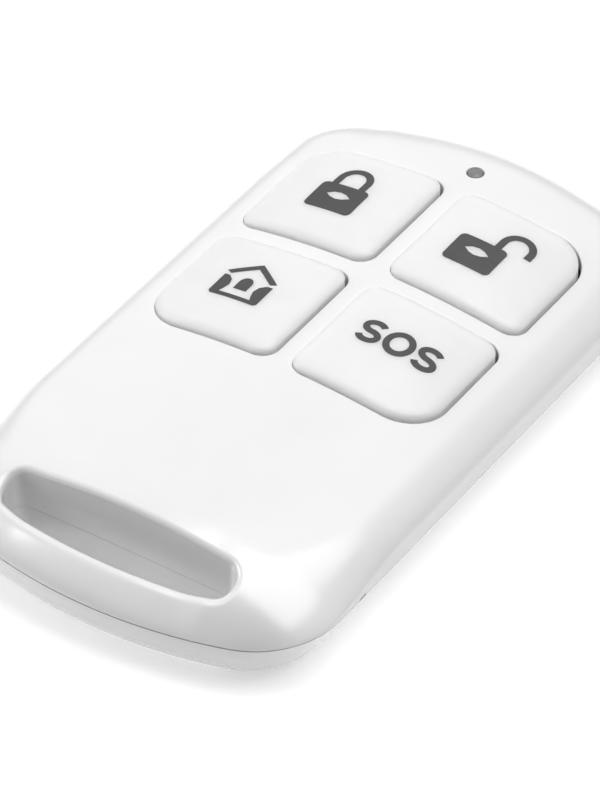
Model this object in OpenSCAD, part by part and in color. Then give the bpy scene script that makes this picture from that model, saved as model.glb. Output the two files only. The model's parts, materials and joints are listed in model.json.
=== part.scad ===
// Four-key alarm fob with a keyring slot, a coin cell and a radio board.
// X runs across the case, +Y points to the LED end, +Z points up through the keys.
// The origin is at the middle of the underside.

/* [Case] */
// Room beside the coin cell, from its rim to the outside of the case
side_room = 5.5; // [5:0.1:8]
// Length of plain grip between the slot and the keys
grip_l = 17.6; // [16:0.1:24]
// Distance from the keys to the LED end
led_end_l = 8.5; // [8:0.05:12]
// Radius of the curved end beside the slot
slot_end_r = 35.2; // [30:0.1:60]
// Radius of the curved end beside the LED
led_end_r = 34; // [30:0.1:60]
// Corner radius in plan at the slot end
slot_corner_r = 6.8; // [6.4:0.1:9]
// Corner radius in plan at the LED end
led_corner_r = 6.7; // [6.4:0.1:9]
// Radius of the crown across the top
crown_r = 61; // [50:1:120]
// Wall thickness at the parting line
wall = 1.2; // [0.9:0.05:1.3]
// Thickness of the roof over the keys
roof_t = 1.1; // [0.9:0.05:1.6]
// Thickness of the floor
floor_t = 1.2; // [0.9:0.05:1.8]
// Inset of the rounded upper edge along the sides
side_roll = 2.9; // [2.4:0.1:3.4]
// Inset of the rounded upper edge at the slot end
slot_roll = 6.45; // [5:0.05:6.5]
// Inset of the rounded upper edge at the LED end
led_roll = 6.45; // [5:0.05:6.5]
// Inset of the rounded lower edge along the sides
side_belly = 3.6; // [2.6:0.1:4.2]
// Inset of the rounded lower edge at the slot end
slot_belly = 3.7; // [2.6:0.1:4.4]
// Inset of the rounded lower edge at the LED end
led_belly = 3.7; // [2.6:0.1:4.4]
// Height of the shadow gap along the parting line
seam_gap = 0.15; // [0.1:0.01:0.25]
// Depth of the shadow gap
seam_depth = 0.3; // [0.2:0.05:0.5]
// Height of the board above the parting line
seam_drop = 0.3; // [0.1:0.05:0.8]
// Length of the pry notch along the parting line
notch_l = 0.8; // [0.6:0.1:2]
// Height of the pry notch
notch_h = 0.45; // [0.3:0.05:0.8]
// Height of the pry notch's middle above the parting line
notch_up = 0.15; // [0:0.05:0.3]
// Distance from the slot to the pry notch
notch_y = 4.4; // [3:0.1:8]

/* [Keyring slot] */
// Thickness of the bar that closes the slot
bar_t = 2.45; // [2.2:0.05:4]
// Width of the slot at its middle
slot_w = 3.65; // [3.5:0.05:6]
// Length of the slot
slot_l = 18.4; // [14:0.1:20]
// Corner radius of the slot in plan
slot_r = 1.2; // [0.8:0.1:1.5]
// Edge rounding of the slot
slot_fillet = 0.5; // [0.3:0.05:0.8]
// Radius of the slot's almost straight edge beside the grip
slot_grip_r = 400; // [200:10:800]
// Thickness of the wall between the slot and the inside
slot_wall = 1.15; // [0.9:0.05:2]

/* [Keys] */
// Height of a key opening along the case
key_h = 10.95; // [10:0.05:13]
// Distance from the key openings to the side of the case
key_margin = 3.75; // [3.5:0.05:5]
// Width of the web between the two columns
key_web = 1.36; // [1.2:0.02:2.4]
// Width of the web between the two rows
row_gap = 1.4; // [1.3:0.05:2.6]
// Corner radius of the keys at the corners of their block
key_block_r = 3.3; // [2:0.1:4.5]
// Corner radius of the keys at their other corners
key_corner_r = 1.35; // [1.2:0.05:2.5]
// Gap round a key in its opening
key_gap = 0.2; // [0.15:0.01:0.35]
// Height of a key's edge above the case
key_proud = 0.8; // [0.65:0.05:1.2]
// Extra height of the crown in the middle of a key
key_crown = 0.12; // [0.05:0.01:0.4]
// Edge rounding of a key
key_round = 0.75; // [0.4:0.05:0.9]
// Thickness of a key's skirt
key_wall = 1.2; // [0.8:0.05:1.4]
// Least thickness of a key's top
key_top_t = 1; // [0.8:0.05:1.1]
// Travel of a key
key_travel = 0.3; // [0.2:0.02:0.36]
// Width of the tabs that hold a key under the roof
tab_w = 3; // [2:0.1:4]
// Reach of the tabs under the roof
tab_l = 0.5; // [0.4:0.02:0.6]
// Thickness of the tabs
tab_t = 0.6; // [0.4:0.05:0.7]
// Play between the tabs and the roof
tab_play = 0.1; // [0.05:0.01:0.2]

/* [Light] */
// Distance from the keys to the LED
led_back = 2.25; // [2.1:0.05:3.2]
// Diameter of the light guide
guide_d = 1.4; // [1:0.1:2]
// Radial play of the light guide in the roof
guide_play = 0.03; // [0.02:0.01:0.06]
// Depth of the light guide's tip below the roof's top
guide_sink = 0.25; // [0.1:0.05:0.5]

/* [Cell] */
// Diameter of the coin cell
cell_d = 20; // [18:0.5:21]
// Thickness of the coin cell
cell_h = 2.5; // [2:0.1:3.2]
// Room between the cell and the wall beside the slot
cell_back = 2.2; // [1.8:0.1:3]
// Radial play of the cell in its tray
cell_play = 0.35; // [0.2:0.05:0.5]
// Thickness of the tray rib round the cell
tray_t = 0.8; // [0.6:0.05:1.2]
// Sheet thickness of the positive clip
clip_t = 0.25; // [0.2:0.01:0.4]
// Width of the positive clip
clip_w = 4; // [3:0.1:6]
// Room between the clip and the floor
clip_room = 0.1; // [0.05:0.01:0.4]
// Height of the negative contact
contact_h = 0.25; // [0.2:0.01:0.5]

/* [Board] */
// Thickness of the circuit board
board_t = 1; // [0.6:0.1:1.6]
// Distance from the board's edge to the outside of the case
board_inset = 3.3; // [3.2:0.05:3.6]
// Room between the board and the roof
key_room = 1.8; // [1.75:0.05:2.6]
// Side of a switch housing
switch_w = 4.5; // [3.8:0.1:5]
// Height of a switch with its cover
switch_h = 1.1; // [1.05:0.05:1.15]
// Diameter of a switch's plunger
plunger_d = 2; // [1.4:0.1:2.4]
// Radial play of a plunger in its switch
plunger_play = 0.1; // [0.05:0.01:0.2]
// Diameter of the antenna wire
wire_d = 0.7; // [0.5:0.05:1]
// Diameter of the board screws
screw_d = 1.6; // [1.2:0.1:2]
// Play of the screws and pegs in the board
hole_play = 0.1; // [0.05:0.01:0.2]

/* [Hidden] */
$fn = 64;

// A small overrun that keeps cuts clean
eps = 0.01;
// Clear height of cutters beyond the surface that they open
over = 1;

// Places along the case
body_w = cell_d + 2 * side_room;
body_l = bar_t + slot_w + grip_l + 2 * key_h + row_gap + led_end_l;
half_w = body_w / 2;
y_slot_lo = -body_l / 2 + bar_t;
y_slot_hi = y_slot_lo + slot_w;
y_inside = y_slot_hi + slot_wall;
row_y = [y_slot_hi + grip_l, y_slot_hi + grip_l + key_h + row_gap];
y_keys_top = row_y[1] + key_h;
y_led = y_keys_top + led_back;
y_cell = y_inside + cell_back + cell_d / 2;

// Heights, from the floor up
z_clip = floor_t + clip_room;
z_cell = z_clip + clip_t;
z_contact = z_cell + cell_h;
z_board = z_contact + contact_h;
z_board_top = z_board + board_t;
z_seam = z_board - seam_drop;
z_ceiling = z_board_top + key_room;
z_top = z_ceiling + roof_t;

// Curves of the case outline, each as [half width, far y, far radius, far corner, near y, near radius, near corner]
case_curve = [half_w, body_l / 2, led_end_r, led_corner_r, -body_l / 2, slot_end_r, slot_corner_r];
slot_curve = [slot_l / 2, y_slot_hi, slot_grip_r, slot_r, y_slot_lo, slot_end_r - bar_t, slot_r];
// Steps along an end, round a corner and along a side
case_steps = [7, 6, 9];
slot_steps = [6, 4, 1];
// Steps up the rolled edges
roll_steps = 7;
inner_steps = 5;
// Ease of the inner curves, which keeps the wall even round the rolled edges
inner_ease = 0.7;

// Points from angle a0 to a1 round a centre, each as [x, y, normal x, normal y]
function arc(cx, cy, r, a0, a1, steps, first = 0, last = 0) =
    [for (i = [first : steps - last])
        let (a = a0 + (a1 - a0) * i / steps) [cx + r * cos(a), cy + r * sin(a), cos(a), sin(a)]];

// Height of a corner circle's centre above the centre of the end curve that it meets
function corner_rise(c, r, k) = sqrt(pow(r - k, 2) - pow(c - k, 2));

// Left half of an outline, from the middle of the far end to the middle of the near end
function half_outline(c, steps) =
    let (far_y = c[1] - c[2],
         near_y = c[4] + c[5],
         far_up = corner_rise(c[0], c[2], c[3]),
         near_up = corner_rise(c[0], c[5], c[6]),
         far_a = atan2(far_up, c[0] - c[3]),
         near_a = atan2(near_up, c[0] - c[6]),
         y0 = far_y + far_up,
         y1 = near_y - near_up)
    concat(arc(0, far_y, c[2], 90, 180 - far_a, steps[0], 0, 1),
           arc(-c[0] + c[3], y0, c[3], 180 - far_a, 180, steps[1]),
           [for (i = [1 : 1 : steps[2] - 1]) let (t = 1 - i / steps[2]) [-c[0], y1 + (y0 - y1) * t * t, -1, 0]],
           arc(-c[0] + c[6], y1, c[6], 180, 180 + near_a, steps[1]),
           arc(0, near_y, c[5], 180 + near_a, 270, steps[0], 1, 0));

// Whole outline, with point i the mirror image of point n - i
function outline(c, steps) =
    let (h = half_outline(c, steps), n = len(h))
    concat(h, [for (i = [n - 2 : -1 : 1]) [-h[i][0], h[i][1], -h[i][2], h[i][3]]]);

case_plan = outline(case_curve, case_steps);
slot_plan = outline(slot_curve, slot_steps);

// Flat outline of the case, drawn in by d
function case_flat(d) = [for (p = case_plan) [p[0] - p[2] * d, p[1] - p[3] * d]];

// Height of the crowned top at distance x from the middle of the case
function crown(x) = crown_r - sqrt(crown_r * crown_r - x * x);
function top_z(x) = z_top - crown(x);
function ceiling_z(x) = z_top - crown_r + sqrt(pow(crown_r - roof_t, 2) - x * x);

// Inset of a rolled edge by the direction that it faces, within the corners' own radii
roll_clear = 0.2;
roll_limit = min(slot_corner_r, led_corner_r) - roll_clear;
function side_share(p, side) = min(side, roll_limit) * p[2] * p[2];
function end_share(p, far, near) = min(p[3] > 0 ? far : near, roll_limit) * p[3] * p[3];
function roll(p) = side_share(p, side_roll) + end_share(p, led_roll, slot_roll);

// Share of the height reached at share u of a rolled edge's inset
function rise(u) = u * (2 - u);

// One ring of the upper form: d0 in from the outline, roof below the top
function upper_ring(u, d0 = 0, ease = 0, roof = 0) =
    [for (p = case_plan)
        let (d = d0 + min(roll(p) - ease, roll_limit - d0) * u, x = p[0] - p[2] * d)
        [x, p[1] - p[3] * d, z_seam + (top_z(x) - roof - z_seam) * rise(u)]];

// Rings across the crowned top, each drawn in from the one before
crown_shares = [0.8, 0.6, 0.4, 0.2];
crown_draw = 0.05;
function crown_rings(ring) =
    [for (s = crown_shares)
        [for (p = ring) [p[0] * s, p[1] * (1 - crown_draw * (1 - s)), top_z(p[0] * s)]]];

// One ring of the lower form at angle a round its edge: d0 in from the outline, ending at height low
function lower_ring(a, d0 = 0, ease = 0, low = 0) =
    [for (p = case_plan)
        let (side = side_share(p, side_belly - ease) * (1 - sqrt(1 - sin(a))),
             end = end_share(p, led_belly - ease, slot_belly - ease) * (1 - cos(a)),
             d = d0 + side + end)
        [p[0] - p[2] * d, p[1] - p[3] * d, z_seam - (z_seam - low) * sin(a)]];

// Height of the rolled top beside the slot
function skin_z(x, y) =
    let (v = [x, y + body_l / 2 - slot_end_r],
         r = norm(v),
         u = min(1, (slot_end_r - r) / roll([x, y, v[0] / r, v[1] / r])))
    z_seam + (top_z(x) - z_seam) * rise(u);

// A level ring of the case outline
function level_ring(d, z) = [for (p = case_flat(d)) [p[0], p[1], z]];

// One ring of the slot, opened by d, at height z or at depth z below the rolled top
function slot_ring(d, z, hang = false) =
    [for (p = slot_plan)
        let (x = p[0] + p[2] * d, y = p[1] + p[3] * d)
        [x, y, hang ? skin_z(x, y) - z : z]];

// Middle of a ring
function middle(ring) = [for (i = [0 : 2]) [for (p = ring) p[i]] * [for (p = ring) 1] / len(ring)];

// Solid through rings of equal count, ordered upwards.
// Mirrored rings close with strips across the case, and others with a fan round their middle.
module loft(rings, fan = false) {
    n = len(rings[0]);
    m = len(rings);
    top = (m - 1) * n;
    sides = [for (k = [0 : m - 2], i = [0 : n - 1])
        let (a = k * n + i, b = k * n + (i + 1) % n) each [[a, a + n, b + n], [a, b + n, b]]];
    strips = [for (i = [0 : n / 2 - 1])
        i == 0 ? [0, 1, n - 1] : i == n / 2 - 1 ? [i, i + 1, i + 2] : [i, i + 1, n - i - 1, n - i]];
    strip_caps = concat(strips, [for (s = strips) [for (j = [len(s) - 1 : -1 : 0]) s[j] + top]]);
    fan_caps = [for (i = [0 : n - 1]) each [[m * n, i, (i + 1) % n], [m * n + 1, top + (i + 1) % n, top + i]]];
    points = [for (r = rings) each r];
    middles = fan ? [middle(rings[0]), middle(rings[m - 1])] : [];
    polyhedron(concat(points, middles), concat(sides, fan ? fan_caps : strip_caps));
}

// Outside of the upper half, with the shadow gap along its lower edge
module upper_form() {
    loft(concat([level_ring(seam_depth, z_seam), level_ring(seam_depth, z_seam + seam_gap)],
                [for (i = [0 : roll_steps]) raised(upper_ring(i / roll_steps), z_seam + seam_gap)],
                crown_rings(upper_ring(1))));
}

// A ring with its lowest points lifted to height z
function raised(ring, z) = [for (p = ring) [p[0], p[1], max(p[2], z)]];

// Hollow of the upper half, rolled at its edge and then straight up to the crowned ceiling
inner_share = 0.8;
crown_fn = 360;
module upper_hollow() {
    rings = [for (i = [0 : inner_steps]) upper_ring(inner_share * i / inner_steps, wall, inner_ease, roof_t)];
    intersection() {
        loft(concat([level_ring(wall, z_seam - over)], rings, [lifted(rings[inner_steps], z_top)]));
        translate([0, -body_l, z_top - crown_r]) rotate([-90, 0, 0])
            cylinder(h = 2 * body_l, r = crown_r - roof_t, $fn = crown_fn);
        past_slot(0);
    }
}

// Outside of the lower half
module lower_form() {
    loft([for (i = [roll_steps : -1 : 0]) lower_ring(90 * i / roll_steps)]);
}

// Hollow of the lower half
module lower_hollow() {
    intersection() {
        loft(concat([for (i = [inner_steps : -1 : 0]) lower_ring(90 * i / inner_steps, wall, inner_ease, floor_t)],
                    [level_ring(wall, z_seam + over)]));
        past_slot(0);
    }
}

// Everything on the LED side of the wall beside the slot, d further in
module past_slot(d) {
    translate([-body_w, y_inside + d, -body_w]) cube([2 * body_w, body_l, 2 * body_w]);
}

// Slot through both halves, with rounded mouths and the shadow gap of the upper half
module slot_cut() {
    ease = [90, 60, 30, 0];
    mouth = [for (a = ease) slot_fillet * [1 - sin(a), 1 - cos(a)]];
    loft(concat([slot_ring(slot_fillet, -over)],
                [for (i = [3 : -1 : 0]) slot_ring(mouth[i][0], mouth[i][1])],
                [slot_ring(0, z_seam), slot_ring(seam_depth, z_seam)],
                [slot_ring(seam_depth, z_seam + seam_gap), slot_ring(0, z_seam + seam_gap)],
                [for (i = [0 : 3]) slot_ring(mouth[i][0], mouth[i][1], true)],
                [slot_ring(slot_fillet, z_top + over)]));
}

// Pry notch in the parting line on the +X side
module notch_cut() {
    translate([half_w - wall / 2, y_slot_hi + notch_y, z_seam + notch_up - notch_h / 2])
        cube([wall, notch_l, notch_h]);
}

// Keys, each as [column side, row]
LOCK = [-1, 1];
UNLOCK = [1, 1];
HOME = [-1, 0];
SOS = [1, 0];
KEYS = [LOCK, UNLOCK, HOME, SOS];
key_w = half_w - key_margin - key_web / 2;
key_mid_x = key_web / 2 + key_w / 2;
function key_middle(key) = [key[0] * key_mid_x, row_y[key[1]] + key_h / 2];
// Steps round a key's corner and along its edges across the case
key_corner_steps = 5;
key_edge_steps = 4;
// Least corner radius inside a key
least_r = 0.2;

// Points without their normals
function flat(points) = [for (p = points) [p[0], p[1]]];

// Points between two places along an edge across the case
function between(x0, x1, y) =
    [for (i = [1 : key_edge_steps - 1]) [x0 + (x1 - x0) * i / key_edge_steps, y]];

// Outline of a right-hand key, drawn in by d, from its outer corner beside the slot
function right_key(row, d) =
    let (x0 = key_web / 2 + d,
         x1 = key_web / 2 + key_w - d,
         y0 = row_y[row] + d,
         y1 = row_y[row] + key_h - d,
         block = max(key_block_r - d, least_r),
         r = max(key_corner_r - d, least_r),
         low = row == 0 ? block : r,
         high = row == 1 ? block : r,
         n = key_corner_steps)
    concat(flat(arc(x1 - low, y0 + low, low, 270, 360, n)),
           flat(arc(x1 - high, y1 - high, high, 0, 90, n)),
           between(x1 - high, x0 + r, y1),
           flat(arc(x0 + r, y1 - r, r, 90, 180, n)),
           flat(arc(x0 + r, y0 + r, r, 180, 270, n)),
           between(x0 + r, x1 - low, y0));

// Outline of any key, drawn in by d
function key_outline(key, d) =
    let (r = right_key(key[1], d), n = len(r))
    key[0] > 0 ? r : [for (i = [n - 1 : -1 : 0]) [-r[i][0], r[i][1]]];

function lifted(points, z) = [for (p = points) [p[0], p[1], z]];
function on_crown(points, h) = [for (p = points) [p[0], p[1], top_z(p[0]) + h]];
function shrunk(points, c, s) = [for (p = points) [c[0] + (p[0] - c[0]) * s, c[1] + (p[1] - c[1]) * s]];

// Heights of a key
z_tab = ceiling_z(key_mid_x + tab_w / 2) - tab_play - tab_t;
z_key_under = top_z(key_mid_x + key_w / 2 - key_gap - key_wall) + key_proud - key_top_t;
z_switch_top = z_board_top + switch_h;
// Least room between a pressed key's post and its switch
press_room = 0.15;
z_plunger_top = z_switch_top + key_travel + press_room;
post_rim = 0.2;
post_d = plunger_d + 2 * post_rim;
// Shares of a key's size at the rings over its crown
key_shares = [0.75, 0.5, 0.25];

// One key cap: a hollow domed cap with a post for its switch and two tabs under the roof
module key_cap(key) {
    c = key_middle(key);
    edge = key_outline(key, key_gap + key_round);
    color("white") {
        difference() {
            loft(concat([lifted(key_outline(key, key_gap), z_tab)],
                        [for (a = [0 : 30 : 90]) on_crown(key_outline(key, key_gap + key_round * (1 - cos(a))),
                                                          key_proud - key_round * (1 - sin(a)))],
                        [for (s = key_shares) on_crown(shrunk(edge, c, s), key_proud + key_crown * (1 - s * s))]),
                 fan = true);
            translate([0, 0, z_tab - over]) linear_extrude(z_key_under - z_tab + over)
                polygon(key_outline(key, key_gap + key_wall));
        }
        translate([c[0], c[1], z_plunger_top]) cylinder(h = z_key_under - z_plunger_top + eps, d = post_d);
        for (end = [-1, 1])
            translate([c[0] - tab_w / 2, c[1] + end * key_h / 2 - (end < 0 ? tab_l : key_wall), z_tab])
                cube([tab_w, tab_l + key_wall, tab_t]);
    }
}

// Screw bosses and pegs that carry the board under the roof
screw_in = 5.3;
screw_back = 3.5;
boss_wall = 0.9;
screw_x = half_w - screw_in;
y_screw = y_inside + screw_back;
boss_d = screw_d + 2 * boss_wall;
boss_h = ceiling_z(screw_x - boss_d / 2) - z_board_top;
screw_l = board_t + boss_h;
peg_back = 1.4;
peg_x = half_w - led_corner_r;
y_peg = y_keys_top + peg_back;
peg_d = 1.2;
peg_shoulder_d = 2.2;
peg_h = ceiling_z(peg_x - peg_shoulder_d / 2) - z_board_top;
peg_under = 0.4;
post_in = 10;
post_back = 0.8;
post_x = half_w - post_in;
y_post = y_led - post_back;
rest_post_d = 2.4;
rest_play = 0.1;

// Flat pad under the roof that the light guide's collar seats on
collar_rim = 0.6;
collar_t = 0.45;
pad_rim = 0.2;
pad_drop = 0.5;
collar_d = guide_d + 2 * collar_rim;
pad_d = collar_d + 2 * pad_rim;
z_pad = z_ceiling - pad_drop;

// Tongue of the rear shell inside the front shell, with the snap ridges on its sides
lip_clear = 0.55;
lip_t = 0.7;
lip_up = 0.6;
lip_root = 1.6;
lip_end = 2;
lip_stop = 3;
snap_l = 6;
snap_h = 0.3;
snap_up = 0.2;
snap_out = 0.55;
snap_root = 0.2;
snap_play = 0.1;
snap_off = [1, 2];
snap_y = [y_cell + snap_off[0], row_y[1] + snap_off[1]];

// Snap ridges, or the pockets for them when play is set
module snaps(play) {
    x0 = half_w - wall - lip_clear - snap_root;
    x1 = half_w - wall - lip_clear + snap_out + play;
    for (s = [-1, 1], y = snap_y)
        translate([s * (x0 + x1) / 2, y, z_seam + snap_up + snap_h / 2])
            cube([x1 - x0, snap_l + 2 * play, snap_h + 2 * play], center = true);
}

// Upper half of the case
module front_shell() {
    color("white")
    difference() {
        union() {
            difference() {
                upper_form();
                upper_hollow();
            }
            translate([0, y_led, z_pad]) cylinder(h = z_ceiling - z_pad + eps, d = pad_d);
            for (s = [-1, 1]) {
                translate([s * screw_x, y_screw, z_board_top]) cylinder(h = boss_h + eps, d = boss_d);
                translate([s * peg_x, y_peg, z_board_top]) cylinder(h = peg_h + eps, d = peg_shoulder_d);
                translate([s * peg_x, y_peg, z_board - peg_under])
                    cylinder(h = board_t + peg_under + eps, d = peg_d);
            }
        }
        for (s = [-1, 1])
            translate([s * screw_x, y_screw, z_board_top - eps])
                cylinder(h = boss_h + hole_play + eps, d = screw_d + hole_play);
        for (key = KEYS)
            translate([0, 0, z_seam + seam_drop]) linear_extrude(z_top - z_seam)
                polygon(key_outline(key, 0));
        translate([0, y_led, z_ceiling - over]) cylinder(h = roof_t + 2 * over, d = guide_d + 2 * guide_play);
        slot_cut();
        snaps(snap_play);
        notch_cut();
    }
}

// Lower half of the case, with a tray round the cell that is open at the clip
tray_gap = 0.5;
module rear_shell() {
    tray_r = cell_d / 2 + cell_play;
    color("gainsboro")
    difference() {
        union() {
            difference() {
                lower_form();
                lower_hollow();
            }
            translate([0, 0, z_seam - lip_root]) linear_extrude(lip_root + lip_up)
                difference() {
                    polygon(case_flat(wall + lip_clear));
                    polygon(case_flat(wall + lip_clear + lip_t));
                    translate([-body_w, -body_l]) square([2 * body_w, y_inside + lip_end + body_l]);
                    translate([-body_w, y_keys_top - lip_stop]) square([2 * body_w, body_l]);
                }
            snaps(0);
            difference() {
                translate([0, y_cell, floor_t - eps]) cylinder(h = cell_h, r = tray_r + tray_t);
                translate([0, y_cell, floor_t - 2 * eps]) cylinder(h = cell_h + over, r = tray_r);
                translate([-body_w, y_cell - clip_w / 2 - tray_gap, floor_t - over])
                    cube([2 * body_w, clip_w + 2 * tray_gap, cell_h + 2 * over]);
            }
            for (s = [-1, 1])
                translate([s * post_x, y_post, floor_t - eps])
                    cylinder(h = z_board - rest_play - floor_t + eps, d = rest_post_d);
        }
        slot_cut();
        notch_cut();
    }
}

// Circuit board with its screw and peg holes
board_back = 0.8;
module circuit_board() {
    color("darkgreen")
    difference() {
        translate([0, 0, z_board]) linear_extrude(board_t)
            difference() {
                polygon(case_flat(board_inset));
                translate([-body_w, -body_l]) square([2 * body_w, y_inside + board_back + body_l]);
            }
        for (s = [-1, 1]) {
            translate([s * screw_x, y_screw, z_board - over])
                cylinder(h = board_t + 2 * over, d = screw_d + 2 * hole_play);
            translate([s * peg_x, y_peg, z_board - over])
                cylinder(h = board_t + 2 * over, d = peg_d + 2 * hole_play);
        }
    }
}

// Heights and sizes inside a switch
cover_t = 0.15;
switch_floor = 0.25;
flange_t = 0.25;
flange_rim = 0.45;
flange_d = plunger_d + 2 * flange_rim;
flange_play = 0.03;
pocket_d = flange_d + 2 * plunger_play;
z_cover = z_switch_top - cover_t;
z_pocket = z_board_top + switch_floor;
z_flange = z_cover - flange_play - flange_t;

// Housing of one switch, open at the top for its dome and plunger
module switch_housing(key) {
    c = key_middle(key);
    color("dimgray")
    difference() {
        translate([c[0] - switch_w / 2, c[1] - switch_w / 2, z_board_top])
            cube([switch_w, switch_w, z_cover - z_board_top]);
        translate([c[0], c[1], z_pocket]) cylinder(h = switch_h, d = pocket_d);
    }
}

// Sheet cover of one switch, with two legs down its sides
leg_w = 2;
leg_l = 0.8;
module switch_cover(key) {
    c = key_middle(key);
    color("silver")
    difference() {
        union() {
            translate([c[0] - switch_w / 2 - cover_t, c[1] - switch_w / 2, z_cover])
                cube([switch_w + 2 * cover_t, switch_w, cover_t]);
            for (s = [-1, 1])
                translate([c[0] + s * (switch_w + cover_t) / 2 - cover_t / 2, c[1] - leg_w / 2, z_cover - leg_l])
                    cube([cover_t, leg_w, leg_l + eps]);
        }
        translate([c[0], c[1], z_cover - over]) cylinder(h = 2 * over, d = plunger_d + 2 * plunger_play);
    }
}

// Plunger of one switch, held under the cover by its flange
module switch_plunger(key) {
    c = key_middle(key);
    color("ivory") {
        translate([c[0], c[1], z_flange]) cylinder(h = flange_t, d = flange_d);
        translate([c[0], c[1], z_flange]) cylinder(h = z_plunger_top - z_flange, d = plunger_d);
    }
}

// Snap dome of one switch, a thin sprung disc under the plunger
dome_t = 0.08;
dome_play = 0.05;
module switch_dome(key) {
    c = key_middle(key);
    base_r = pocket_d / 2 - plunger_play;
    dome_h = z_flange - dome_play - z_pocket;
    r = (base_r * base_r + dome_h * dome_h) / (2 * dome_h);
    color("goldenrod")
    translate([c[0], c[1], z_pocket])
        intersection() {
            translate([0, 0, dome_h - r])
                difference() {
                    sphere(r = r);
                    sphere(r = r - dome_t);
                }
            cylinder(h = dome_h + over, r = base_r + over);
        }
}

// Solder terminals of all four switches
terminal_w = 0.6;
terminal_l = 0.8;
terminal_t = 0.15;
module switch_terminals() {
    color("silver")
    for (key = KEYS, sx = [-1, 1], sy = [-1, 1]) {
        c = key_middle(key);
        translate([c[0] + sx * (switch_w / 2 - terminal_w) - terminal_w / 2,
                   c[1] + sy * (switch_w + terminal_l) / 2 - terminal_l / 2, z_board_top])
            cube([terminal_w, terminal_l, terminal_t]);
    }
}

// Chip LED under the light guide
led_l = 2;
led_w = 1.25;
led_base = 0.3;
led_lens_l = 1.2;
led_lens_h = 0.35;
module status_led() {
    color("lightyellow") {
        translate([-led_l / 2, y_led - led_w / 2, z_board_top]) cube([led_l, led_w, led_base]);
        translate([-led_lens_l / 2, y_led - led_w / 2, z_board_top + led_base - eps])
            cube([led_lens_l, led_w, led_lens_h + eps]);
    }
}

// Clear light guide, held under the roof's pad by its collar
module light_guide() {
    z0 = z_pad - collar_t;
    color("lightgray") {
        translate([0, y_led, z0]) cylinder(h = collar_t, d = collar_d);
        translate([0, y_led, z0]) cylinder(h = z_top - guide_sink - z0, d = guide_d);
    }
}

// Places of the parts under the board: two rows back from the LED, and a column beside the encoder
chips_back = 12;
small_back = 5.6;
rf_in = 7.9;
y_chips = y_led - chips_back;
y_small = y_led - small_back;
rf_x = half_w - rf_in;

// A chip body with a row of leads along each long side, hanging from the board
module leaded_chip(x, y, body, pitch, upper, lower, lead) {
    translate([x - body[0] / 2, y - body[1] / 2, z_board - lead[2] - body[2]]) cube(body);
    for (row = [[1, upper], [-1, lower]], i = row[1])
        translate([x + i * pitch - lead[0] / 2, y + row[0] * (body[1] + lead[1]) / 2 - lead[1] / 2 - row[0] * eps,
                   z_board - lead[2] - body[2] / 2])
            cube([lead[0], lead[1], lead[2] + body[2] / 2]);
}

// Encoder chip
encoder_size = [4.9, 3.9, 1.4];
encoder_lead = [0.42, 1, 0.1];
encoder_pitch = 1.27;
encoder_row = [-1.5, -0.5, 0.5, 1.5];
module encoder_chip() {
    color("black") leaded_chip(0, y_chips, encoder_size, encoder_pitch, encoder_row, encoder_row, encoder_lead);
}

// Radio transistor
rf_size = [2.9, 1.3, 1];
rf_lead = [0.4, 0.5, 0.1];
rf_pitch = 0.95;
module rf_transistor() {
    color("black") leaded_chip(-rf_x, y_chips, rf_size, rf_pitch, [0], [-1, 1], rf_lead);
}

// Resonator can with a stepped lid
can_size = [5, 3.5, 0.9];
lid_step = 0.3;
lid_h = 0.5;
module saw_resonator() {
    lid = [can_size[0] - 2 * lid_step, can_size[1] - 2 * lid_step, lid_h + eps];
    color("silver") {
        translate([rf_x - can_size[0] / 2, y_chips - can_size[1] / 2, z_board - can_size[2]]) cube(can_size);
        translate([rf_x - lid[0] / 2, y_chips - lid[1] / 2, z_board - can_size[2] - lid_h]) cube(lid);
    }
}

// A row of equal chips with end caps, hanging from the board
cap_l = 0.4;
cap_over = 0.03;
module chip_row(places, size) {
    for (p = places) {
        translate([p[0] - size[0] / 2, p[1] - size[1] / 2, z_board - size[2]]) cube(size);
        for (s = [-1, 1])
            translate([p[0] + s * (size[0] - cap_l) / 2 - cap_l / 2 - cap_over, p[1] - size[1] / 2 - cap_over,
                       z_board - size[2] - cap_over])
                cube([cap_l + 2 * cap_over, size[1] + 2 * cap_over, size[2] + cap_over]);
    }
}

// Places of the small chips, by their pitch and by their distance from the larger ones
small_pitch = 2.8;
small_first = 3.6;
small_off = 3.1;
small_x = [for (i = [0 : 2]) small_first + small_pitch * i];
resistor_size = [2, 1.25, 0.5];
capacitor_size = [2, 1.25, 0.8];

// Chip resistors
module chip_resistors() {
    color("dimgray") chip_row([for (x = small_x) [-x, y_small], for (s = [-1, 1]) [-rf_x, y_chips + s * small_off]],
                              resistor_size);
}

// Chip capacitors
module chip_capacitors() {
    color("tan") chip_row([for (x = small_x) [x, y_small], [0, y_small], [rf_x, y_chips - small_off]],
                          capacitor_size);
}

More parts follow.
